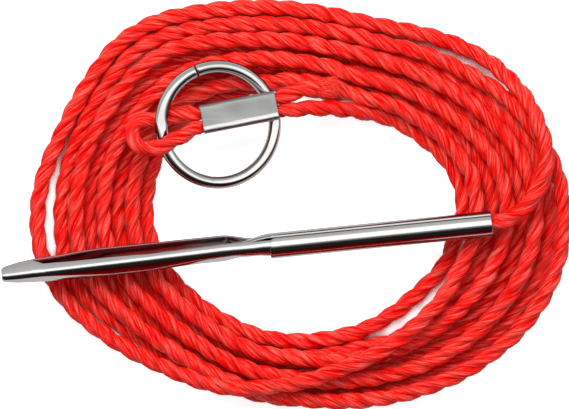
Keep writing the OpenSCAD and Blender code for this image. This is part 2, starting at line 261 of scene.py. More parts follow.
def coil_at(turns):
    """The coil's centreline after so many turns along the rope."""
    turns = np.asarray(turns, dtype=float)
    deg = coil_start_deg - FULL_TURN * turns
    cos, sin = np.cos(np.radians(deg)), np.sin(np.radians(deg))
    upper = ease((turns - lower_turns) / climb_turns)
    loop = np.where(turns <= lower_turns, turns, 2 * lower_turns - turns)
    loop = loop + upper * upper_sway * np.sin(2 * np.pi * (loop - turns))
    x = cos * reach(left_in, left_step, right_in, right_step, loop, cos)
    y = sin * reach(bottom_in, bottom_step, top_in, top_step, loop, sin)
    swell = sum(most * corner_share(deg - at, power) for at, most, power in corners)
    swell = swell * loop / lower_turns
    climb = ease((turns - lower_turns) / climb_turns + climb_early_share)
    shift = upper * upper_shift * np.maximum(0, sin) ** 2
    return np.stack([x + swell * cos, y + swell * sin + shift, rest_z + layer_step * climb], axis=-1)


def coil_along(turns):
    return unit(coil_at(turns + coil_probe) - coil_at(turns - coil_probe))


def coil_in():
    """Where the coil begins, one rope diameter before its first loop."""
    return coil_at(0) - rope_d * coil_along(0)


def in_sleeve(end, side):
    """A point in the sleeve: end is -1 at the eye and 1 at the tail, side is 1 at the back."""
    return sleeve_at + turned((end * sleeve_l / 2, side * pass_y, 0), sleeve_deg)


def rope_route():
    """Points along the whole rope, from inside the needle to the cut end."""
    needle_along = turned((1, 0, 0), needle_deg)
    in_tube = [needle_at - depth * needle_along for depth in in_tube_depths]
    coil_out = coil_at(coil_turns) + rope_d * coil_along(coil_turns)
    coil = coil_at(np.linspace(coil_turns, 0, coil_samples))
    first_pass = [in_sleeve(end, -1) for end in (1, 0, -1)]
    second_pass = [in_sleeve(end, 1) for end in (-1, 0, 1)]
    return np.vstack([in_tube, lead[::-1], coil_out, coil, coil_in(), standing[::-1],
                      first_pass, eye[::-1], second_pass, tail])


def settled(line, free):
    """Loops that lie almost side by side move together until they touch, save at three places
    where the edge of the hank stands clear of the rest."""
    touch, widest, fade, most = 3.3, 4.5, 0.25, 0.9
    rounds, smoothed_over = 14, 23
    # Points are beside each other when they are this near round the hank and this far along the rope
    beside_deg, points_apart = 1.3, 40
    least_gap, no_gap = 0.02, 99
    edge_pull, pull = 0.12, 0.5
    outwards, inwards = 1, -1
    pick = np.arange(0, len(line), 2)
    deg = np.degrees(np.arctan2(line[:, 1], line[:, 0]))[pick]
    r = np.hypot(line[:, 0], line[:, 1])
    round_by = np.abs((deg[:, None] - deg[None] + 180) % FULL_TURN - 180)
    beside = (round_by < beside_deg) & (np.abs(pick[:, None] - pick[None]) > points_apart)
    kernel = np.hanning(smoothed_over) / np.hanning(smoothed_over).sum()
    clear = {outwards: (deg > 162) | (deg < -166) | ((deg > 32) & (deg < 64)),
             inwards: (deg > -62) & (deg < -22)}
    moved = np.zeros(len(line))
    for _ in range(rounds):
        now = (r + moved)[pick]
        further = np.where(beside, now[None] - now[:, None], no_gap)
        gaps = {way: np.where(further * way > least_gap, further * way, no_gap) for way in clear}
        edge = {way: gaps[way].min(axis=1) == no_gap for way in clear}
        step = 0
        for way in clear:
            gap, beyond = gaps[way].min(axis=1), gaps[way].argmin(axis=1)
            excess = np.clip(gap - touch, 0, 1) * np.clip((widest - gap) / fade, 0, 1)
            held = (clear[way] & edge[way][beyond]) | (clear[-way] & edge[-way])
            step = step + way * excess * np.where(held, 0, np.where(edge[-way], edge_pull, pull))
        step = np.convolve(np.interp(np.arange(len(line)), pick, step), kernel, mode="same")
        moved = np.clip(moved + step * free, -most, most)
    return line + unit(line * (1, 1, 0)) * moved[:, None]


def rope_line():
    """The rope's centreline in even steps, the distance along it, and its width as a share of
    what it is outside the sleeve."""
    line, dist = through(rope_route(), line_step)

    def near(point):
        return dist[np.argmin(np.linalg.norm(line - np.asarray(point), axis=1))]

    def within(first, last, margin=rope_r, over=2):
        """1 between two distances, easing to 0 beyond them."""
        return ease((dist - first + margin) / over) * ease((last + margin - dist) / over)

    mouth, coil_end = near(needle_at), near(coil_in())
    passes = np.maximum(within(near(in_sleeve(1, -1)), near(in_sleeve(-1, -1))),
                        within(near(in_sleeve(-1, 1)), near(in_sleeve(1, 1))))
    # The laid rope doesn't lie as evenly as a drawn line: the whole band wanders sideways,
    # save near the needle and the sleeve
    sideways = unit(np.cross(unit(np.gradient(line, axis=0)), UP))
    by_needle, by_sleeve, over = 6, 4, 15
    free = ease((dist - mouth - by_needle) / over) * ease((coil_end - by_sleeve - dist) / over)
    angle = np.arctan2(line[:, 1], line[:, 0])
    wander = 0.25 * np.sin(4 * angle + 0.7) + 0.16 * np.sin(7 * angle + 2.1) + 0.1 * np.sin(dist / 7.3)
    line = settled(line + sideways * (wander * free)[:, None], free)
    return line, dist, 1 - pass_squeeze * passes


# Materials
def node(tree, kind, inputs=None, **settings):
    """A shader node, each input given a value or joined to another node's output."""
    made = tree.nodes.new("ShaderNode" + kind)
    for name, value in settings.items():
        setattr(made, name, value)
    for name, value in (inputs or {}).items():
        if isinstance(value, bpy.types.NodeSocket):
            tree.links.new(value, made.inputs[name])
        else:
            made.inputs[name].default_value = value
    return made


def new_material(name):
    mat = bpy.data.materials.new(name)
    mat.use_nodes = True
    mat.node_tree.nodes.clear()
    return mat, mat.node_tree


def surface(tree, shader):
    node(tree, "OutputMaterial", {"Surface": shader.outputs[0]})


def ramp(tree, value, stops):
    """Colours by a value, as pairs of place and colour."""
    made = node(tree, "ValToRGB", {0: value})
    elements = made.color_ramp.elements
    for element, (place, color) in zip(elements, (stops[0], stops[-1])):
        element.position = place
        element.color = (*color, 1)
    for place, color in stops[1:-1]:
        elements.new(place).color = (*color, 1)
    return made.outputs[0]


def noise(tree, coords, scale, detail, roughness):
    settings = {"Vector": coords, "Scale": scale, "Detail": detail, "Roughness": roughness}
    return node(tree, "TexNoise", settings).outputs[0]


def stretched(tree, coords, scale, deg):
    turn = (0, 0, math.radians(deg))
    return node(tree, "Mapping", {"Vector": coords, "Scale": scale, "Rotation": turn}).outputs[0]


def ranged(tree, value, low, high, start=0.0, end=1.0):
    """A value between start and end, moved to between low and high."""
    limits = {"Value": value, "From Min": start, "From Max": end, "To Min": low, "To Max": high}
    return node(tree, "MapRange", limits).outputs[0]


def blended(tree, share, a, b, **settings):
    return node(tree, "Mix", {"Factor": share, "A": a, "B": b}, **settings).outputs["Result"]


def bumped(tree, height, strength, depth):
    return node(tree, "Bump", {"Height": height, "Strength": strength, "Distance": depth * MM}).outputs[0]


def rope_material():
    """Laid filaments: fine streaks nearly along each strand, over broader bundles of yarn."""
    mat, tree = new_material("rope_red")
    lay = node(tree, "UVMap", uv_map="lay").outputs[0]
    streak_deg = -14
    streaks = noise(tree, stretched(tree, lay, (3.1, 0.22, 1), streak_deg), 1.0, 4.0, 0.72)
    yarns = noise(tree, stretched(tree, lay, (1.5, 0.16, 1), streak_deg), 1.0, 2.0, 0.5)
    yarns = node(tree, "Math", {0: yarns, 1: 0.3}, operation="MULTIPLY").outputs[0]
    fibre = node(tree, "Math", {0: streaks, 1: 0.7, 2: yarns}, operation="MULTIPLY_ADD").outputs[0]
    color = ramp(tree, fibre, ((0.40, (0.74, 0.0003, 0.0003)), (0.5, (0.9, 0.008, 0.005)),
                               (0.59, (1.0, 0.12, 0.08))))
    # Painted shade: in reflections the rope's colour is darkened and its gloss taken away, so the metal
    # mirrors it as if it lay in shade
    mirrored = node(tree, "LightPath").outputs["Is Glossy Ray"]
    shade = (0.27, 0.27, 0.27, 1)
    gloss = ranged(tree, fibre, 0.0, 1.25, 0.42, 0.62)
    surface(tree, node(tree, "BsdfPrincipled", {
        "Base Color": blended(tree, mirrored, color, shade, data_type="RGBA", blend_type="MULTIPLY"),
        "Roughness": ranged(tree, fibre, 0.55, 0.32),
        "Normal": bumped(tree, fibre, 0.7, 0.28),
        "Specular IOR Level": blended(tree, mirrored, gloss, 0.0, data_type="FLOAT"),
        # Light passes some way through the filaments
        "Subsurface Weight": 0.6,
        "Subsurface Radius": (1.0, 0.03, 0.02),
        "Subsurface Scale": 1.5 * MM}))
    return mat


def fibre_material():
    """The cut end's loose filaments, some paler than others."""
    mat, tree = new_material("rope_red_fibres")
    patches = noise(tree, node(tree, "TexCoord").outputs["Object"], 2400.0, 2.0, 0.5)
    surface(tree, node(tree, "BsdfPrincipled", {
        "Base Color": ramp(tree, patches, ((0.38, (0.8, 0.004, 0.003)), (0.5, (1.0, 0.04, 0.025)),
                                           (0.62, (1.0, 0.17, 0.11)))),
        "Roughness": 0.5,
        "Specular IOR Level": 0.4,
        # Painted light: a faint red glow stands in for light passing through such thin filaments to the
        # ones below
        "Emission Color": (1.0, 0.03, 0.015, 1),
        "Emission Strength": 0.16}))
    return mat


def metal_material(name, color, tarnish, rough, scratched, depth, stretch, deg=needle_deg, painted_light=None):
    """Plated metal: scratches, which stretch makes long where a piece is brushed, and patches
    where the plate is dull. The last colour, if asked for, is worked out from the plate's by
    painting shade, reflection or a highlight over it."""
    mat, tree = new_material(name)
    coords = node(tree, "TexCoord").outputs["Object"]
    scratches = noise(tree, stretched(tree, coords, stretch, -deg), 1.0, 5.0, 0.65)
    patches = noise(tree, coords, 140.0, 3.0, 0.5)
    plate = ramp(tree, patches, ((0.35, tuple(x * tarnish for x in color)), (0.62, color)))
    surface(tree, node(tree, "BsdfPrincipled", {
        "Base Color": painted_light(tree, plate) if painted_light else plate,
        "Metallic": 1.0,
        "Roughness": ranged(tree, scratches, rough, rough + scratched, 0.3, 0.7),
        "Normal": bumped(tree, scratches, 1.0, depth)}))
    return mat


def painted_shade_and_reflection(tree, plate):
    """Painted shade and painted reflection: the colour is multiplied by a darkening on the sheet's
    inside, the tube's bore and its seam, and among the loops the inside is tinted red as if it mirrored
    them."""
    inside = node(tree, "Attribute", attribute_name="inside").outputs["Color"]
    return blended(tree, 1.0, plate, inside, data_type="RGBA", blend_type="MULTIPLY")


def painted_fold_highlight(tree, plate):
    # A painted highlight: the plate turns near white along the fold
    fold = node(tree, "Attribute", attribute_name="fold").outputs["Fac"]
    return blended(tree, fold, plate, (0.92, 0.92, 0.91, 1), data_type="RGBA")


# The rope
def laid_rope(name, line, dist, width, mat, body):
    """Three strands laid side by side round the rope's middle, their crowns at its radius."""
    from_crown = np.radians([-60, -55, -42, -24, 0, 24, 42, 55])
    angles = np.concatenate([from_crown + k * 2 * np.pi / strands for k in range(strands)])
    from_crown = np.tile(from_crown, strands)
    beside = strand_at * np.sin(from_crown)
    radius = strand_at * np.cos(from_crown) + np.sqrt(strand_r ** 2 - beside ** 2)
    sides = len(angles)
    along, side, up = frames(line)
    uneven = 1 + 0.025 * np.sin(dist / 3.1 + 1) + 0.02 * np.sin(dist / 1.9)
    turn = (2 * np.pi * dist / lay_l)[:, None] + angles
    r = radius * uneven[:, None]
    out = side[:, None] * (r * np.cos(turn))[..., None] + up[:, None] * (r * np.sin(turn))[..., None]
    level = unit(np.cross(along, UP))[:, None]
    out = out + level * ((out * level).sum(-1) * (width[:, None] - 1))[..., None]
    points = line[:, None] + out
    points[..., 2] = np.maximum(points[..., 2], least_z)
    points = np.vstack([points.reshape(-1, 3), line[:1], line[-1:]])
    last = len(line) * sides
    quads = walls(len(line), sides, flip=True)
    ends = [fan(last, 0, sides, flip=True), fan(last + 1, last - sides, sides)]
    ob = mesh_piece(name, points, list(quads) + list(np.vstack(ends)), mat, body)
    # The lay map: round the rope with the strands, and along it, in millimetres
    row, column = np.divmod(quads, sides)
    column[:, 1:3] += sides * (column[:, 1:3] == 0)
    round_by = np.append(angles, angles[0] + 2 * np.pi) * rope_r
    lay = np.zeros((len(ob.data.loops), 2))
    lay[:quads.size] = np.stack([round_by[column], dist[row]], axis=-1).reshape(-1, 2)
    ob.data.uv_layers.new(name="lay").data.foreach_set("uv", lay.ravel())
    return ob


def hairs(name, roots, ways, lengths, radii, mat, body):
    """Loose fibres: thin bent three-sided hairs."""
    draw = np.random.default_rng(5)
    droop, thinner, joints, sides = 0.12, 0.75, 6, 3
    t = np.linspace(0, 1, joints)[:, None, None]
    corner = 2 * np.pi * np.arange(sides)[:, None] / sides
    hair = list(walls(joints, sides, flip=True))
    hair += [np.arange(sides)[::-1], (joints - 1) * sides + np.arange(sides)]
    points, faces = [], []
    for root, way, length, radius in zip(roots, ways, lengths, radii):
        bend = unit(draw.normal(size=3)) * droop
        side = unit(np.cross(way, draw.normal(size=3)))
        middle = root + way * length * t + bend * length * t * t
        out = side * np.cos(corner) + np.cross(way, side) * np.sin(corner)
        faces += [face + len(points) * joints * sides for face in hair]
        points.append((middle + out * radius * (1 - thinner * t)).reshape(-1, 3))
    return mesh_piece(name, np.vstack(points), faces, mat, body)


def cut_end(line, mat):
    """The rope's cut end: its filaments spread."""
    draw = np.random.default_rng(11)
    count, spread, uneven = 260, 0.15, 0.07
    out_to, crowding = 1.55, 0.35
    along, side, up = (way[-1] for way in frames(line))
    angle = draw.uniform(0, 2 * np.pi, count)
    from_middle = out_to * draw.uniform(0, 1, count) ** crowding
    back = draw.uniform(0.5, 3.2, count)
    out = (side * np.cos(angle)[:, None] + up * np.sin(angle)[:, None]) * from_middle[:, None]
    roots = line[-1] - along * back[:, None] + out
    ways = unit(along + out * spread + draw.normal(scale=uneven, size=(count, 3)))
    lengths = back + draw.uniform(0.2, 1.5, count)
    radii = draw.uniform(0.08, 0.15, count)
    return hairs("rope_fray", roots, ways, lengths, radii, mat, "stringer")


# The ring
def ring_piece(mat):
    """Drawn wire, not quite round, bent to a ring whose butt ends are a little rounded."""
    steps, sides = 300, 64
    half_seam = ring_seam / ring_r / 2
    rounding = ((0.0, 0.55), (0.0006, 0.86), (0.0018, 0.97))
    from_end = np.array([share for share, _ in rounding]) * 2 * math.pi
    thick = [share for _, share in rounding]
    start = math.radians(ring_seam_deg) + half_seam
    end = math.radians(ring_seam_deg) + 2 * math.pi - half_seam
    evenly = np.linspace(start, end, steps + 1)[1:-1]
    place = np.concatenate([start + from_end, evenly, end - from_end[::-1]])
    thick = wire_r * np.concatenate([thick, np.ones(steps - 1), thick[::-1]])
    # a goes round the ring, and w round its wire
    a, w = np.meshgrid(place, 2 * np.pi * np.arange(sides) / sides, indexing="ij")
    r = thick[:, None] * (1 + 0.010 * np.cos(5 * w + 1 + 0.4 * np.sin(a))
                          + 0.006 * np.cos(9 * w + 2 * np.sin(a + 1)))
    # A small nick on the wire's inner side
    nick_deg, nick_side_deg, nick_l, nick_deep = -96.4, 150, 0.22, 0.12
    past = (a - math.radians(nick_deg)) % (2 * math.pi)
    away = np.minimum(past, 2 * math.pi - past) * ring_r
    facing = np.maximum(0.0, np.cos(w - math.radians(nick_side_deg)))
    r = r - nick_deep * np.exp(-(away / nick_l) ** 2) * facing ** 4
    out = ring_r + r * np.cos(w)
    points = np.stack([out * np.cos(a), out * np.sin(a), r * np.sin(w)], axis=-1)
    points = np.vstack([points.reshape(-1, 3), points[0].mean(axis=0), points[-1].mean(axis=0)])
    last = len(place) * sides
    faces = [*walls(len(place), sides), *fan(last, 0, sides),
             *fan(last + 1, last - sides, sides, flip=True)]
    cos, sin = math.cos(math.radians(ring_tilt)), math.sin(math.radians(ring_tilt))
    x, y, z = points.T
    tilted = np.stack([x * cos + z * sin, y, z * cos - x * sin], axis=1) + ring_at
    return mesh_piece("ring_wire", tilted, faces, mat, "ring")


# The sleeve
def sleeve_outline(inset):
    """Round-cornered rectangle from one side of the seam to the other, seam at the back's top."""
    half_w, half_h, r = sleeve_w / 2 - inset, sleeve_h / 2 - inset, sleeve_fold_r - inset
    x, z = half_w - r, half_h - r
    seam_z = sleeve_h / 2 - sleeve_fold_r

    def fold(mid_x, mid_z, deg):
        turn = np.radians(np.linspace(deg, deg + 90, 8))
        return list(zip(mid_x + r * np.cos(turn), mid_z + r * np.sin(turn)))

    points = [(half_w, seam_z)] + fold(x, z, 0)
    points += [(x * f, half_h) for f in (0.66, 0.33, 0, -0.33, -0.6, -0.68, -0.74, -0.8, -0.86, -0.93)]
    points += fold(-x, z, 90) + [(-half_w, z * f) for f in (0.5, 0, -0.5)]
    points += fold(-x, -z, 180) + [(x * f, -half_h) for f in (-0.66, -0.33, 0, 0.33, 0.66)]
    points += fold(x, -z, 270) + [(half_w, seam_z - sleeve_seam)]
    return np.array(points)


def sleeve_piece(mat):
    """One strap folded round both rope passes and crimped."""
    outer, inner = sleeve_outline(0), sleeve_outline(sleeve_sheet)
    section = np.vstack([outer, inner[::-1]])
    middle = np.vstack([outer + inner, (outer + inner)[::-1]]) / 2
    sides = len(section)
    # The sheet's edges are rounded: each end is drawn in towards the middle of the sheet
    rounding = ((0, 0.62), (0.02, 0.3), (0.11, 0.08), (0.25, 0))
    end, flat_from, evenly = sleeve_l / 2, 0.55, 29
    dent_deep, uneven, lower_by, fold_w = 0.10, 0.02, 0.09, 0.6
    from_end = np.array([far for far, _ in rounding])
    drawn_in = [share for _, share in rounding]
    between = np.linspace(flat_from - end, end - flat_from, evenly)
    places = np.concatenate([from_end - end, between, end - from_end[::-1]])
    drawn_in = drawn_in + [0] * evenly + drawn_in[::-1]
    points, fold_highlight = [], []
    for x, share in zip(places, drawn_in):
        y, z = (section + (middle - section) * share).T
        # Crimped: the strap is drawn in slightly between its ends, the top is a little uneven
        # and lies a little lower than the fold on the far side
        dent = dent_deep * math.cos(math.pi * x / sleeve_l) ** 2
        crimped = z - z / (sleeve_h / 2) * dent * (1 - (y / (sleeve_w / 2)) ** 2)
        crimped = crimped + uneven * np.sin(0.9 * x + 0.8 * y)
        from_fold = y + sleeve_w / 2 - sleeve_fold_r
        lower = lower_by * ease((from_fold - 0.25) / 0.4)
        crimped = crimped - np.where(z > sleeve_h / 2 - sleeve_fold_r, lower, 0)
        points.append(np.stack([np.full(sides, x), y, crimped], axis=1))
        # The strip of the top beside one fold is marked for a painted highlight
        fold_highlight.append((z > sleeve_h / 2 - 0.3) & (from_fold < fold_w))
    faces = [*walls(len(places), sides), *across(0, len(outer) - 1, sides - 1),
             *across((len(places) - 1) * sides, len(outer) - 1, sides - 1, flip=True)]
    placed = turned(np.vstack(points), sleeve_deg) + sleeve_at
    ob = mesh_piece("sleeve_strap", placed, faces, mat, "stringer")
    fold = ob.data.attributes.new("fold", "FLOAT", "POINT")
    fold.data.foreach_set("value", np.concatenate(fold_highlight).astype(float))
    return ob


# The needle. In its functions s is the distance from the mouth. The outer line of the blade's
# section runs from the upper rim over the crest, down the near side and along the lower wing.
# Each row below goes with these places along the blade and says how far across from the
# needle's axis something lies. The strips get their grey, white, black and red from the room,
# by their tilt, and the last one is steep.
blade_at = (50, 58, 68, 76, 83, 89, 91.2, 94, 97.4)
upper_rim = (1.2, 1.0, 0.79, 0.85, 0.8, 0.9, 1.85, 1.6, 0.8)
grey_end = (0.6, 0.42, 0.14, 0, -0.16, -0.26, -0.31, -0.38, -0.45)
white_end = (-0.04, -0.26, -0.41, -0.55, -0.65, -0.71, -0.75, -0.79, -0.85)
black_end = (-1.05, -0.97, -1.2, -1.3, -1.34, -1.5, -1.54, -1.58, -1.5)
red_end = (-1.2, -1.52, -2.46, -2.53, -2.05, -1.62, -1.62, -1.66, -1.56)
steep_end = (-2.09, -2.1, -2.5, -2.57, -2.6, -2.54, -2.45, -2.3, -1.85)
# Tilts of the strips where each begins and ends. The steep one's first tilt changes between two
# places along the blade.
grey_tilt, white_tilt, black_tilt, red_tilt = (38, 17), (17, -7), (-7, -29), (-29, -44)
steep_at, steep_tilts, last_tilt = (58, 68), (-70, -57), -78
strip_steps = 40
far_edge_at = (52, 77.8, 81.8, 85.7, 90.7, 93.7, 95.7, 97.4)
far_edge = (2.85, 2.8, 2.57, 2.21, 1.95, 1.64, 1.24, 0.85)
# Heights of the crest and the bottom, the bottom's radius, how far the steep side leans out, and
# the slope and curl of the lower wing
crest_z, bottom_z, bottom_r = 3.5, -2.15, 2.0
side_lean = 0.07
wing_deg, wing_power = 12, 1.6
# The taper: where it begins, the tip's width and height as shares of the blade's, and how fast
# the crest falls as the width goes
taper_from, tip_wide, tip_high = 76, 0.8, 0.57
crest_fall = 3
# The tip's rounded end: its length, how much narrower it ends, and how far off the axis
tip_round, tip_square, tip_off = 0.9, 0.3, 0.5
# Least width between the rims, least height of the steep side, and how far above the bottom's
# round corner that side may begin
least_open, least_side, side_above = 0.03, 0.1, 0.6


def neck_line(s, count):
    """Outer line of the neck's section, (y, z) from the lower rim to the upper one: part of a circle."""
    waist = float(ease((s - tube_l) / (waist_at - tube_l)))
    r = mix(bore_r + weld, waist_r, waist)
    a = np.radians(mix(tube_wrap, waist_wrap, waist)) * np.linspace(-1, 1, count + 1)
    y, z = -r * np.cos(a), r * np.sin(a)
    cos, sin = math.cos(math.radians(blade_open_deg)), math.sin(math.radians(blade_open_deg))
    return np.stack([y * cos - z * sin, y * sin + z * cos], axis=1)


def blade_line(s, count):
    """The blade's outer line in the same direction, built the other way and turned round."""
    far = float(np.interp(s, far_edge_at, far_edge))
    wide = float(np.interp(s, (taper_from, needle_l), (1, tip_wide)))
    high = float(np.interp(s, (taper_from, needle_l), (1, tip_high)))
    steep_tilt = (float(np.interp(s, steep_at, steep_tilts)), last_tilt)
    strips = ((grey_end, grey_tilt), (white_end, white_tilt), (black_end, black_tilt),
              (red_end, red_tilt), (steep_end, steep_tilt))
    y = [np.array([min(float(np.interp(s, blade_at, upper_rim)), far - least_open)])]
    z = [np.array([0.0])]
    for ends, (first, last) in strips:
        t = np.arange(1, strip_steps + 1) / strip_steps
        tilt = np.tan(np.radians(mix(first, last, t - 0.5 / strip_steps)))
        width = y[-1][-1] - float(np.interp(s, blade_at, ends))
        y.append(y[-1][-1] - width * t)
        z.append(z[-1][-1] + np.cumsum(tilt) * width / strip_steps)
    y, z = np.concatenate(y), np.concatenate(z)
    z = z + (crest_z - crest_fall * (1 - wide)) * high - z.max()
    # The steep side, which leans out a little, and the round bottom
    foot_z = bottom_z * wide * high
    top_z = min(z[-1] - least_side, foot_z + bottom_r * wide * high + side_above)
    q = np.radians(np.linspace(0, 90, 31))
    steep_y = y[-1] - side_lean * np.sin(np.radians([30, 60, 90]))
    steep_z = mix(z[-1], top_z, np.array([0.33, 0.66, 0.97]))
    y = np.concatenate([y, steep_y, steep_y[-1] + bottom_r * wide * (1 - np.cos(q))])
    z = np.concatenate([z, steep_z, mix(foot_z, top_z, 1 - np.sin(q))])
    # The lower wing curls up to its rim
    t = np.linspace(0, 1, 25)[1:]
    wing = far - y[-1]
    rise = wing * math.tan(math.radians(wing_deg)) * high
    y = np.concatenate([y, y[-1] + wing * t])
    z = np.concatenate([z, z[-1] + rise * t ** wing_power])
    # The tip's end is rounded about a line a little off the axis
    past = max(0.0, (s - needle_l + tip_round) / tip_round)
    square = 1 - tip_square * (1 - math.sqrt(max(0.0, 1 - past * past)))
    line = np.stack([(y + tip_off) * square - tip_off, z * square], axis=1)
    # Points are closer together on the strips
    closer = np.where(np.arange(len(line) - 1) < len(strips) * strip_steps, 1.8, 1.0)
    dist = distance_along(line, closer)
    return resampled(line, np.linspace(dist[-1], 0, count + 1), dist)


def outer_line(s, count):
    blade = float(ease((s - waist_at) / (flare_to - waist_at)))
    if blade <= 0:
        return neck_line(s, count)
    return mix(neck_line(s, count), blade_line(s, count), blade)


def channel_section(s, count, rim_degs):
    """Section of the channel's sheet: outer line, round rim, inner line, round rim."""
    ground_from, ground_share, rim_bulge = 88, 0.35, 0.8
    thick = needle_sheet * (1 - ground_share * max(0.0, (s - ground_from) / (needle_l - ground_from)))
    outer = outer_line(s, count)
    along = unit(np.gradient(outer, axis=0))
    inner = outer + np.stack([along[:, 1], -along[:, 0]], axis=1) * thick

    def rim(k, way):
        middle, half = (outer[k] + inner[k]) / 2, (outer[k] - inner[k]) / 2
        bulge = along[k] * way * rim_bulge * thick / 2
        return [middle + half * math.cos(q) + bulge * math.sin(q) for q in np.radians(rim_degs)]

    points = np.vstack([outer, rim(-1, 1), inner[::-1], rim(0, -1)[::-1]])
    return np.column_stack([np.full(len(points), -s), points])


def channel():
    """The open blade with its neck, from inside the tube to the tip."""
    strips, rim_degs = 64, (36, 72, 108, 144)
    rim = len(rim_degs)
    # Sections are closest together along the neck and at the tip
    neck_to, blade_from, blade_to, tip_l = tube_l + 12, tube_l + 12.6, 94.5, 2
    q = np.linspace(0.1, math.pi / 2, 16)
    tip = needle_l - tip_round * (1 - np.sin(q)) - tip_l * (1 - q / (math.pi / 2))
    neck = np.linspace(loft_from, neck_to, 46)
    blade = np.linspace(blade_from, blade_to, 70)
    places = np.concatenate([neck, blade, tip])
    points = np.vstack([channel_section(s, strips, rim_degs) for s in places])
    sides = 2 * (strips + 1 + rim)
    faces = list(walls(len(places), sides))
    back = 2 * strips + 1 + rim
    # Each end: quads across the sheet, and the two round rims
    for first, flip in ((0, True), (len(points) - sides, False)):
        faces += list(across(first, strips, back, flip))
        upper = first + np.arange(strips, strips + rim + 2)
        lower = first + np.append(np.arange(back, sides), 0)
        faces += [edge if flip else edge[::-1] for edge in (upper, lower)]
    # Painted shade and painted reflection on the inner side: darkened grey at the neck, and dark red
    # among the loops as if it mirrored them
    tint_at = (45, 57, 62, 90)
    tint = [np.interp(places, tint_at, row) for row in
            ((0.58, 0.58, 0.66, 0.7), (0.54, 0.52, 0.3, 0.32), (0.54, 0.52, 0.31, 0.34))]
    is_inner = np.zeros(sides)
    is_inner[strips + 1 + rim:] = 1
    is_inner[:3] = 1
    tints = 1 - is_inner[None, :, None] * (1 - np.array(tint).T[:, None])
    return points, faces, tints.reshape(-1, 3)


def tube_point(s, r, a):
    """A point of the tube's section at a radius and an angle in radians."""
    y, z = r * np.cos(a) + tube_y, tube_flat * r * np.sin(a) + tube_z
    return np.stack(np.broadcast_arrays(-s, y, z), axis=-1)


def rolled_tube():
    """The tube: the sheet rolled right round to a closed seam, with a round corner at the back."""
    steps, corner = 96, 1.3
    seam = math.radians(seam_side_deg)
    half_gap = seam_half_w / tube_r
    # Points round the tube are closest at the seam
    close = np.array([0, 0.04, 0.09, 0.15, 0.22])
    whole = 14.69
    evenly = np.linspace(0.3, whole - 0.29, steps + 1 - 2 * len(close))
    place = np.concatenate([close, evenly, whole - close[::-1]])
    a = seam + half_gap + (2 * math.pi - 2 * half_gap) * place / whole
    # The rolled edges meet below the surface
    edge = ((0.3, 0.4), (0.7, 0.96))
    section = [(tube_r, x) for x in a]
    section += [(tube_r - deep * needle_sheet, a[-1] + past * half_gap) for deep, past in edge]
    section += [(bore_r, x) for x in a[::-1]]
    section += [(tube_r - deep * needle_sheet, a[0] - past * half_gap) for deep, past in edge[::-1]]
    r, angle = np.array(section).T
    # The sheet's edges are rounded over along the seam
    edge_r, edge_deep = 0.2, 0.16
    from_edge = np.minimum(angle - a[0], a[-1] - angle) * tube_r
    over = edge_deep * (1 - np.clip(from_edge / edge_r, 0, 1)) ** 2
    over = np.where(r == tube_r, over, 0)
    # The back end is cut short by a round corner beside the seam
    from_seam = (angle - a[0]) * tube_r
    corner_cut = tube_l - corner + np.sqrt(np.maximum(0, corner ** 2 - (corner - from_seam) ** 2))
    cut = np.where(from_seam > corner, tube_l, corner_cut)
    # Both ends are rounded: places along the tube, and how far the surface is drawn in there
    mouth_end = ((0, 0.14), (0.04, 0.06), (0.12, 0.02), (0.3, 0))
    back_end = ((0.5, 0), (0.25, 0.02), (0.1, 0.06), (0.03, 0.1), (0, 0.16))
    rows = [*mouth_end, *((s, 0) for s in np.linspace(1, 43, 40))]
    rows += [(tube_l - from_back, drawn_in) for from_back, drawn_in in back_end]
    is_outer = r > (tube_r + bore_r) / 2
    points = []
    for s, drawn_in in rows:
        rounded = np.where(is_outer, r - drawn_in, r + drawn_in / 2)
        points.append(tube_point(s * cut / tube_l, rounded - over, angle))
    sides = len(section)
    back = 2 * steps + 3
    faces = [*walls(len(rows), sides, flip=True), *across(0, steps, back, flip=True),
             *across((len(rows) - 1) * sides, steps, back)]
    # Painted shade: dark in the seam's groove and in the bore
    tint = np.ones(sides)
    tint[steps + 1:] = 0.25
    tint[[0, steps]] = 0.6
    return np.vstack(points), faces, np.tile(tint, len(rows))[:, None].repeat(3, axis=1)


def wing_point(s, share, inset):
    """A point of the upper wing's sheet, a share of the way from the spine to the rim."""
    half = 30
    outer = outer_line(s, 2 * half)
    k = half + half * share
    first = min(int(k), 2 * half - 1)
    step = outer[first + 1] - outer[first]
    way = unit(step)
    y, z = outer[first] + step * (k - first) + np.array([way[1], -way[0]]) * inset
    return np.array([-s, y, z])


def gusset():
    """Beyond the seam the sheet flows from the tube into the neck without a step."""
    rows, columns, thick = 30, 18, 0.3
    first_s, length = 43.7, 8.6
    first_deg, span_deg, wing_share = 48.5, 100, 0.16
    points = []
    for t in np.linspace(0, 1, rows):
        s = first_s + length * t
        inner_row = []
        for q in np.linspace(0, 1, columns + 1):
            angle = math.radians(first_deg - span_deg * q)
            share = 1 - wing_share * (1 - q)
            outer, inner = (mix(tube_point(s, r, angle), wing_point(s, share, inset), float(ease(t)))
                            for r, inset in ((tube_r, 0.09 * t - 0.015), (tube_r - thick, thick)))
            points.append(outer)
            inner_row.append(inner)
        points += inner_row[::-1]
    sides = 2 * (columns + 1)
    faces = [*walls(rows, sides, flip=True), *across(0, columns, sides - 1, flip=True),
             *across((rows - 1) * sides, columns, sides - 1)]
    return np.array(points), faces, np.ones((len(points), 3))


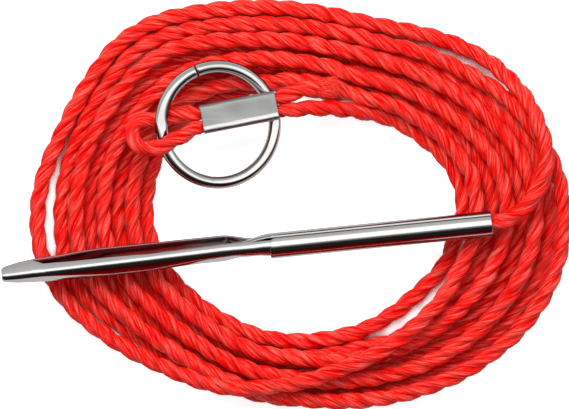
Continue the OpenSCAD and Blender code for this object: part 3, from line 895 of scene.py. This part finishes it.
def needle_piece(mat):
    """One stamped sheet: blade and neck, rolled tube, and the gusset between them."""
    points, faces, tints, count = [], [], [], 0
    for part_points, part_faces, part_tints in (channel(), rolled_tube(), gusset()):
        faces += [np.asarray(face) + count for face in part_faces]
        points.append(turned(part_points, needle_deg) + needle_at)
        tints.append(part_tints)
        count += len(part_points)
    ob = mesh_piece("needle_sheet", np.vstack(points), faces, mat, "stringer")
    # Each point's painted shade and painted reflection, which the metal's colour is multiplied by
    colors = np.column_stack([np.vstack(tints), np.ones(count)])
    ob.data.attributes.new("inside", "FLOAT_COLOR", "POINT").data.foreach_set("color", colors.ravel())
    return ob


# The floor and the room
def floor_material():
    """The open floor is a lit white sheet; in the narrow gaps between loops its colour is painted dark
    and red by how hidden it is: painted shade with a painted red bounce.
    """
    mat, tree = new_material("floor")
    hidden = node(tree, "AmbientOcclusion", {"Distance": 8 * MM}, samples=12).outputs["AO"]
    # Painted shade: the more hidden a point of the floor, the darker and redder its colour
    painted_gap_shade = ramp(tree, hidden, ((0.16, (0.10, 0.004, 0.003)), (0.31, (0.32, 0.05, 0.045)),
                               (0.42, (0.8, 0.8, 0.8))))

    def glow(strength):
        return node(tree, "Emission", {"Color": painted_gap_shade, "Strength": strength}).outputs[0]

    plain = node(tree, "BsdfDiffuse", {"Color": (0.8, 0.8, 0.8, 1)}).outputs[0]
    matt = node(tree, "BsdfDiffuse", {"Color": painted_gap_shade}).outputs[0]
    to_camera = node(tree, "AddShader", {0: matt, 1: glow(0.92)}).outputs[0]
    path = node(tree, "LightPath").outputs
    shader = node(tree, "MixShader", {0: path["Is Camera Ray"], 1: plain, 2: to_camera}).outputs[0]
    surface(tree, node(tree, "MixShader", {0: path["Is Glossy Ray"], 1: shader, 2: glow(0.66)}))
    return mat


def floor_piece():
    half = 1500
    points = [(-half, -half, 0), (half, -half, 0), (half, half, 0), (-half, half, 0)]
    return mesh_piece("floor", points, [(0, 1, 2, 3)], floor_material(), smooth=False)


def studio():
    """The room round the table, as the metal sees it: a wide soft light overhead that leans to
    the ring's side, grey walls there, and a dark room on the far side. Its brightness goes by
    the angle from overhead towards +Y."""
    # A painted reflection: a dark red band low on the far side stands in for the loops that the metal
    # mirrors
    painted_rope_reflection = (0.10, 0.002, 0.004)
    rooms = ((-180, 0.9), (-118, 0.7), (-104, painted_rope_reflection), (-88, (0.25, 0.001, 0.002)),
             (-60, (0.02, 0.0005, 0.0005)), (-54, 0.012), (-24, 0.015), (-9, 0.30), (-4, 1.25),
             (29, 1.25), (36, 0.56), (60, 0.46), (90, 0.38), (120, 0.6), (179, 0.9))
    stops = [((deg + 180) / FULL_TURN, value if isinstance(value, tuple) else (value,) * 3)
             for deg, value in rooms]
    world = bpy.data.worlds.new("studio")
    bpy.context.scene.world = world
    world.use_nodes = True
    tree = world.node_tree
    way = node(tree, "SeparateXYZ", {0: node(tree, "TexCoord").outputs["Generated"]}).outputs
    angle = node(tree, "Math", {0: way["Y"], 1: way["Z"]}, operation="ARCTAN2").outputs[0]
    share = ranged(tree, angle, 0.0, 1.0, -math.pi, math.pi)
    # The metal mirrors a brighter room than the one that lights the rope
    mirrored = node(tree, "LightPath").outputs["Is Glossy Ray"]
    background = tree.nodes["Background"]
    tree.links.new(ramp(tree, share, stops), background.inputs["Color"])
    tree.links.new(ranged(tree, mirrored, 0.68, 1.0), background.inputs["Strength"])


def area_light(name, place, size, watts):
    """A square soft light over the table, aimed at the hank's middle and not mirrored."""
    light = bpy.data.lights.new(name, "AREA")
    light.shape = "RECTANGLE"
    light.size = size * MM
    light.size_y = size * MM
    light.energy = watts
    ob = bpy.data.objects.new(name, light)
    ob.location = [value * MM for value in place]
    ob.rotation_euler = (-Vector(place)).to_track_quat("-Z", "Y").to_euler()
    ob.visible_glossy = False
    bpy.context.scene.collection.objects.link(ob)


def photo_camera():
    """Straight down, square to the floor, with the photo's width."""
    camera = bpy.data.cameras.new("camera")
    camera.type = "ORTHO"
    camera.ortho_scale = photo_wide * pixel * MM
    camera.clip_start = 10 * MM
    camera.clip_end = 5000 * MM
    ob = bpy.data.objects.new("camera", camera)
    ob.location = ((photo_wide / 2 - hank_middle) * pixel * MM, 0, camera_z * MM)
    bpy.context.scene.collection.objects.link(ob)
    bpy.context.scene.camera = ob


photo_camera()

line, dist, width = rope_line()
rope = laid_rope("rope", line, dist, width, rope_material(), "stringer")
fray = cut_end(line, fibre_material())
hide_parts("rope_coil", "rope_lead", "rope_standing", "rope_eye", "rope_tail")

ring_metal = metal_material("ring_metal", (0.80, 0.79, 0.77), tarnish=0.85, rough=0.05, scratched=0.06,
                            depth=0.003, stretch=(500, 500, 500))
ring = ring_piece(ring_metal)
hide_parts("ring")

sleeve_metal = metal_material("sleeve_metal", (0.47, 0.47, 0.465), tarnish=0.88, rough=0.26,
                              scratched=0.14, depth=0.012, stretch=(60, 1400, 1400), deg=sleeve_deg,
                              painted_light=painted_fold_highlight)
sleeve = sleeve_piece(sleeve_metal)
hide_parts("sleeve")

needle_metal = metal_material("needle_metal", (0.86, 0.85, 0.83), tarnish=0.93, rough=0.07,
                              scratched=0.07, depth=0.004, stretch=(60, 900, 900), painted_light=painted_shade_and_reflection)
needle = needle_piece(needle_metal)
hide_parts("needle")

floor_piece()
studio()
area_light("key", (-130, 360, 640), 360, 4.7)
area_light("fill", (350, -350, 600), 600, 1.0)
bpy.context.scene.view_settings.view_transform = "Standard"
